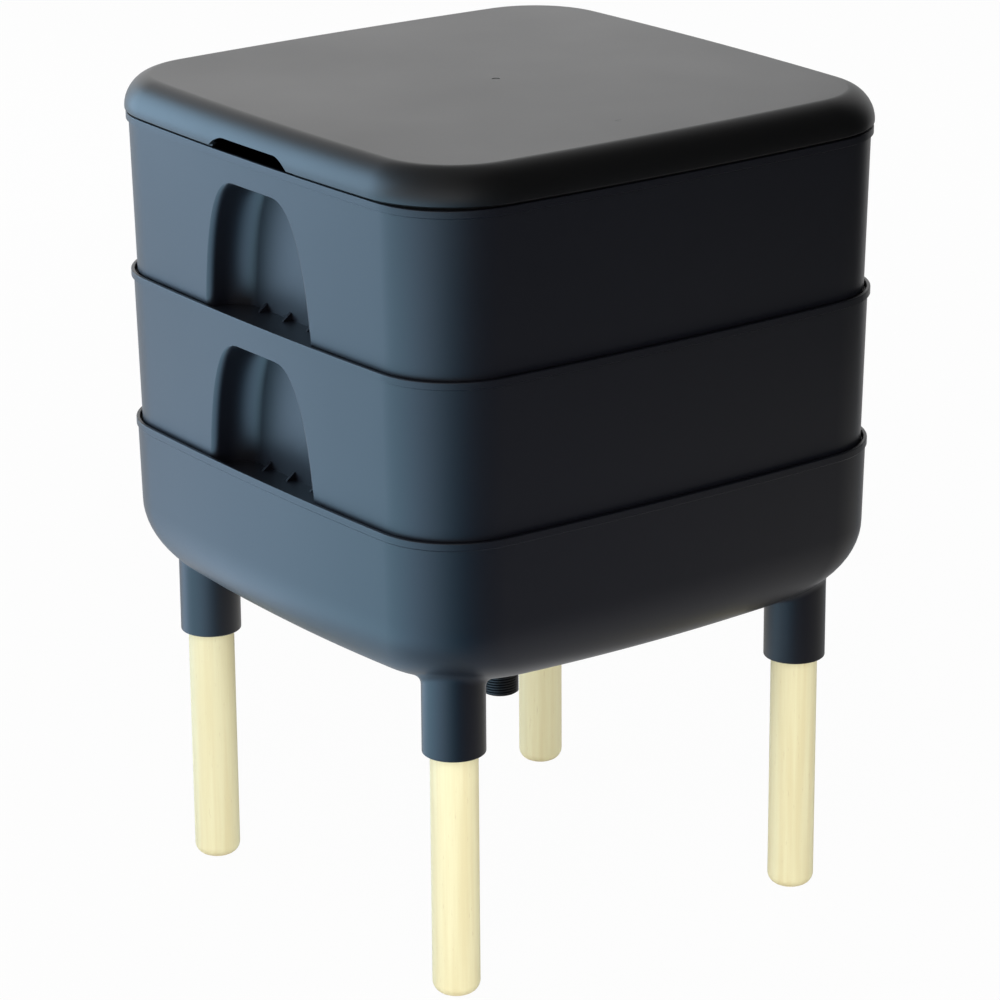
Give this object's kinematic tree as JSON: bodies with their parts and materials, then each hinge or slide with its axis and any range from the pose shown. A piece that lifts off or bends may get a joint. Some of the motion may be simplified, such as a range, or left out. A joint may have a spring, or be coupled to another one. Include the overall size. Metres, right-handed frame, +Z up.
{
  "type": "stacking wormery",
  "caption": "Stacking worm composter: stacked trays with hand recesses and a lid, on a liquid bowl with wooden legs and a threaded drain.",
  "frame": {"origin": "on the floor, midway between the legs", "axes": "+Z up; the hand recesses and lid notches face -X and +X; the plain front faces -Y"},
  "size_m": [0.3826, 0.3836, 0.5422],
  "materials": {
    "body_plastic": "fine satin moulded surface, dark anthracite blue",
    "leg_wood": "sanded pale dowel, plain straight grain",
    "fitting_plastic": "smooth black moulded thread",
    "seal_rubber": "soft dull black"
  },
  "bodies": {
    "bowl": {"base_bowl": "body_plastic", "leg_front_left": "leg_wood", "leg_front_right": "leg_wood", "leg_back_left": "leg_wood", "leg_back_right": "leg_wood", "drain_spigot": "fitting_plastic", "drain_nut": "fitting_plastic", "drain_washer_upper": "seal_rubber", "drain_washer_lower": "seal_rubber"},
    "lower_tray": {"lower_tray": "body_plastic"},
    "upper_tray": {"upper_tray": "body_plastic"},
    "lid": {"lid": "body_plastic"},
    "drain_plug": {"drain_plug": "seal_rubber"}
  },
  "joints": [
    {"name": "lower_tray_lift", "type": "slide", "parent": "bowl", "child": "lower_tray", "axis": [0, 0, 1], "range_m": [0, 0.15]},
    {"name": "upper_tray_lift", "type": "slide", "parent": "lower_tray", "child": "upper_tray", "axis": [0, 0, 1], "range_m": [0, 0.15]},
    {"name": "lid_lift", "type": "slide", "parent": "upper_tray", "child": "lid", "axis": [0, 0, 1], "range_m": [0, 0.15]},
    {"name": "drain_plug_pull", "type": "slide", "parent": "bowl", "child": "drain_plug", "axis": [0, 0, -1], "range_m": [0, 0.03]}
  ]
}
